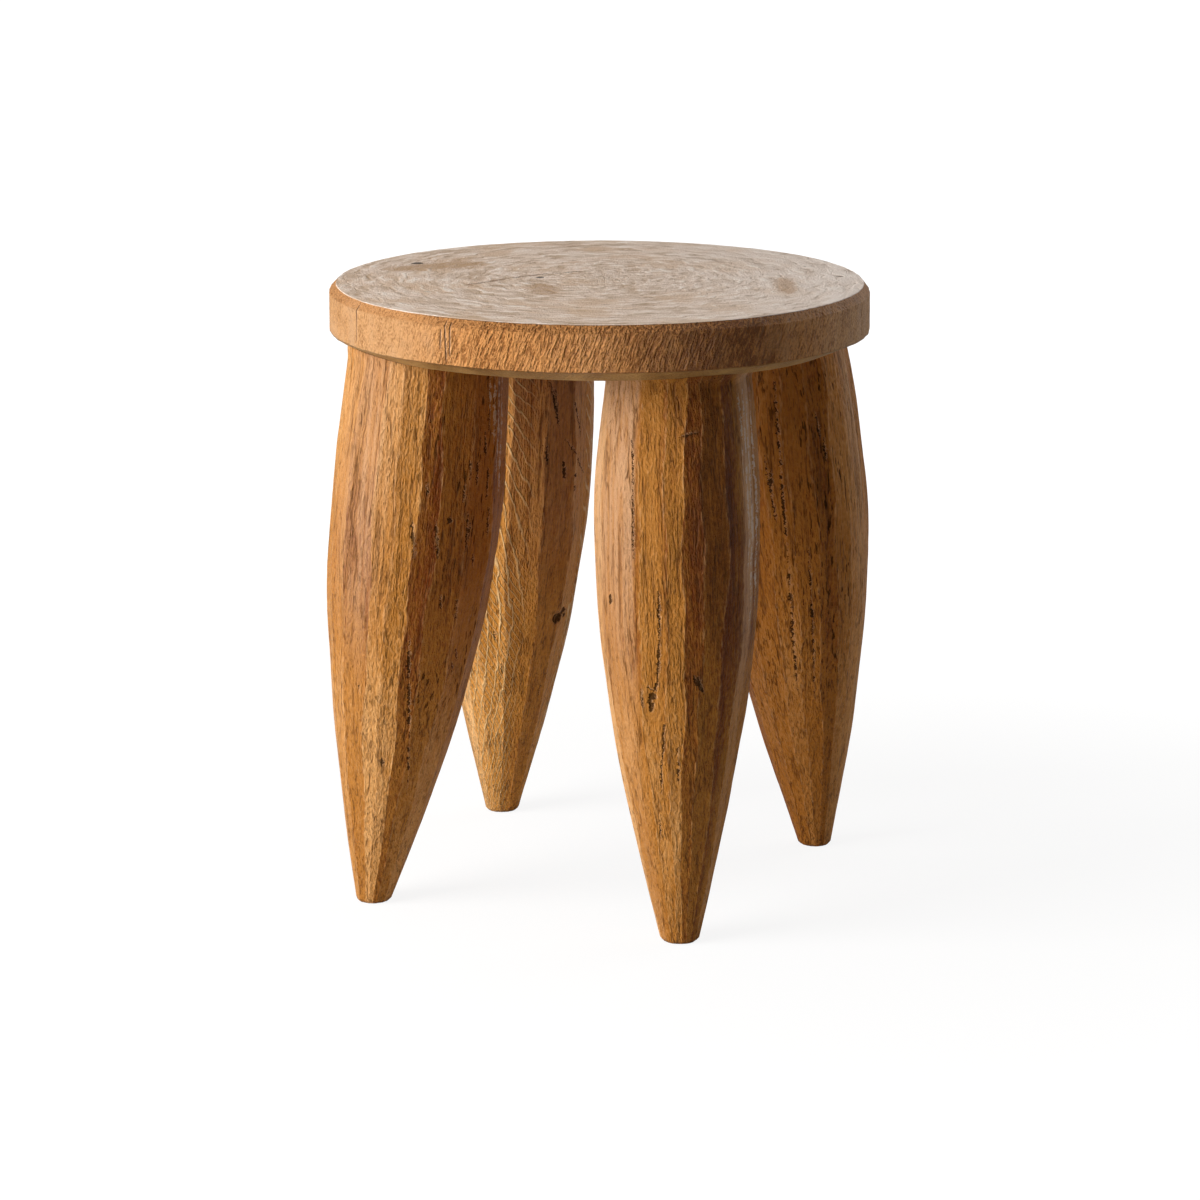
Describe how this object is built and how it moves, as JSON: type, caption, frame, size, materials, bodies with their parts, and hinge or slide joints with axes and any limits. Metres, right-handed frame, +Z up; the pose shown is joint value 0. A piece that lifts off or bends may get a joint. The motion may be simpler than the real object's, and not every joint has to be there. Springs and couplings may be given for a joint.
{
  "type": "stool",
  "caption": "Low round stool in hand-hewn wood: a thick disc seat with bevelled edges on splayed legs that swell below the seat and taper to small flat feet.",
  "frame": {"origin": "on the floor under the middle of the seat", "axes": "+Z up to the seat's top, +X to the right and +Y to the back, with the legs on the diagonals of X and Y"},
  "size_m": [0.3965, 0.3964, 0.45],
  "materials": {
    "seat_wood": "dry hand-hewn hardwood, a pale greyed end-grain top and a warm brown side",
    "leg_wood": "hand-hewn hardwood along the grain, warm brown with a thin waxed sheen"
  },
  "bodies": {
    "root": {"seat": "seat_wood", "leg_front_left": "leg_wood", "leg_front_right": "leg_wood", "leg_back_right": "leg_wood", "leg_back_left": "leg_wood"}
  },
  "joints": []
}
